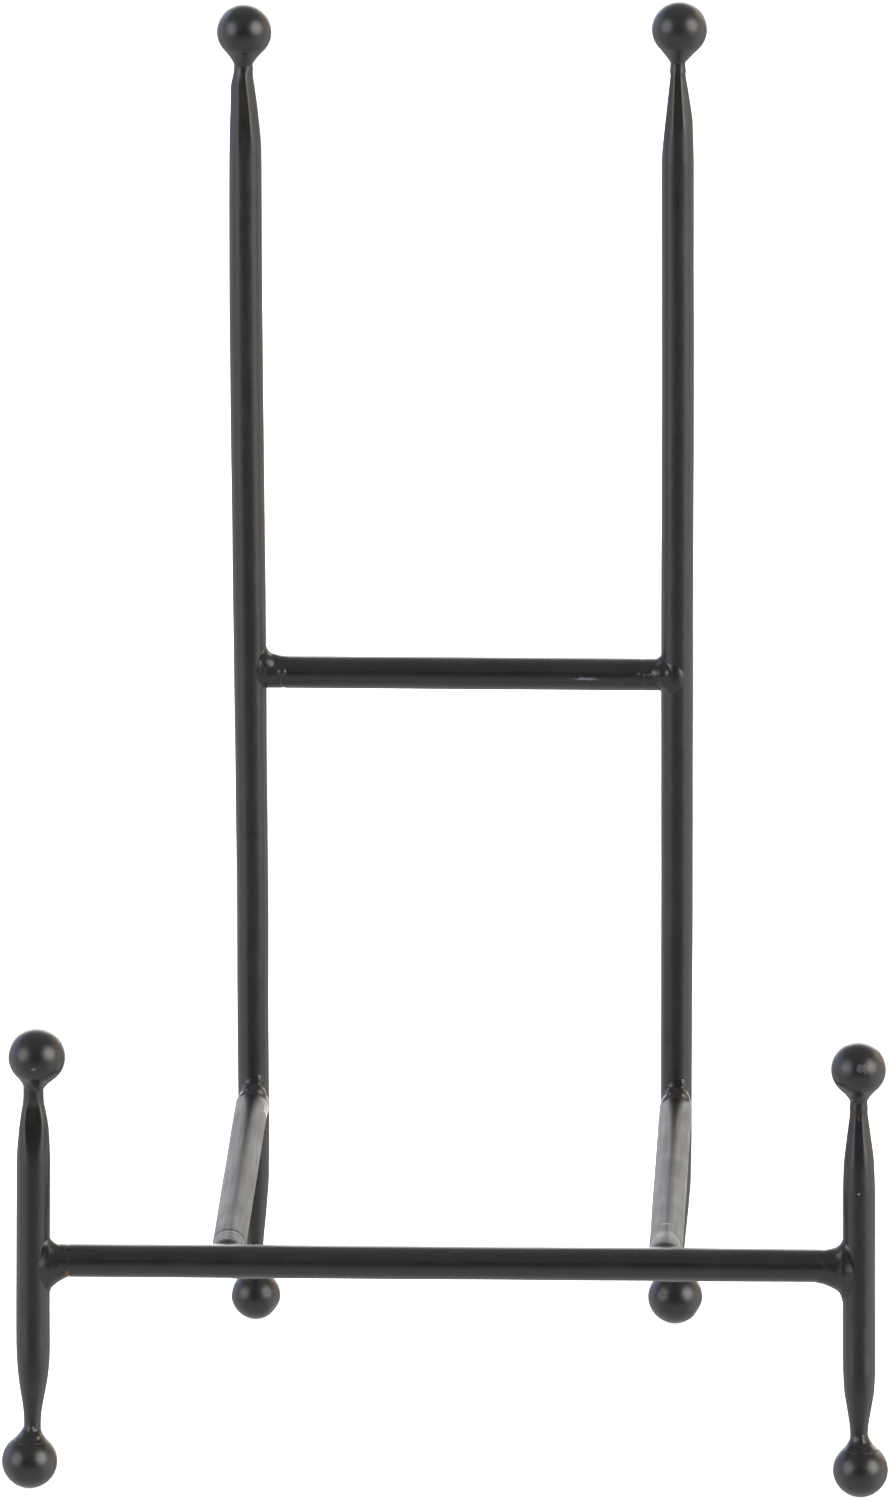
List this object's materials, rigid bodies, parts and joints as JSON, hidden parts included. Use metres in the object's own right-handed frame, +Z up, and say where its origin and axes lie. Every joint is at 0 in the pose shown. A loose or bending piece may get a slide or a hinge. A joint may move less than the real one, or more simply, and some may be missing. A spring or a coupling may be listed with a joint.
{
  "type": "tabletop easel",
  "caption": "Rigid display easel of welded round black bar: uprights that lean back, rails and a crossbar that form a ledge, and posts in front, with a ball at each open end.",
  "frame": {"origin": "centre of the footprint, on the surface that the four foot balls stand on", "axes": "+Z up, -Y towards the front, where the ledge and the posts are, +X to the viewer's right"},
  "size_m": [0.194, 0.1502, 0.2991],
  "materials": {
    "painted_bar": "satin",
    "painted_ball": "satin",
    "painted_weld": "satin, uneven"
  },
  "bodies": {
    "root": {"middle_crossbar": "painted_bar", "front_crossbar": "painted_bar", "left_upright": "painted_bar", "left_post": "painted_bar", "left_side_rail": "painted_bar", "right_upright": "painted_bar", "right_post": "painted_bar", "right_side_rail": "painted_bar", "left_top_ball": "painted_ball", "left_rear_foot_ball": "painted_ball", "left_post_ball": "painted_ball", "left_front_foot_ball": "painted_ball", "right_top_ball": "painted_ball", "right_rear_foot_ball": "painted_ball", "right_post_ball": "painted_ball", "right_front_foot_ball": "painted_ball", "left_middle_bead": "painted_weld", "left_rail_rear_bead": "painted_weld", "left_rail_front_bead": "painted_weld", "left_post_bead": "painted_weld", "left_top_ball_weld": "painted_weld", "left_rear_foot_ball_weld": "painted_weld", "left_post_ball_weld": "painted_weld", "left_front_foot_ball_weld": "painted_weld", "right_middle_bead": "painted_weld", "right_rail_rear_bead": "painted_weld", "right_rail_front_bead": "painted_weld", "right_post_bead": "painted_weld", "right_top_ball_weld": "painted_weld", "right_rear_foot_ball_weld": "painted_weld", "right_post_ball_weld": "painted_weld", "right_front_foot_ball_weld": "painted_weld"}
  },
  "joints": []
}
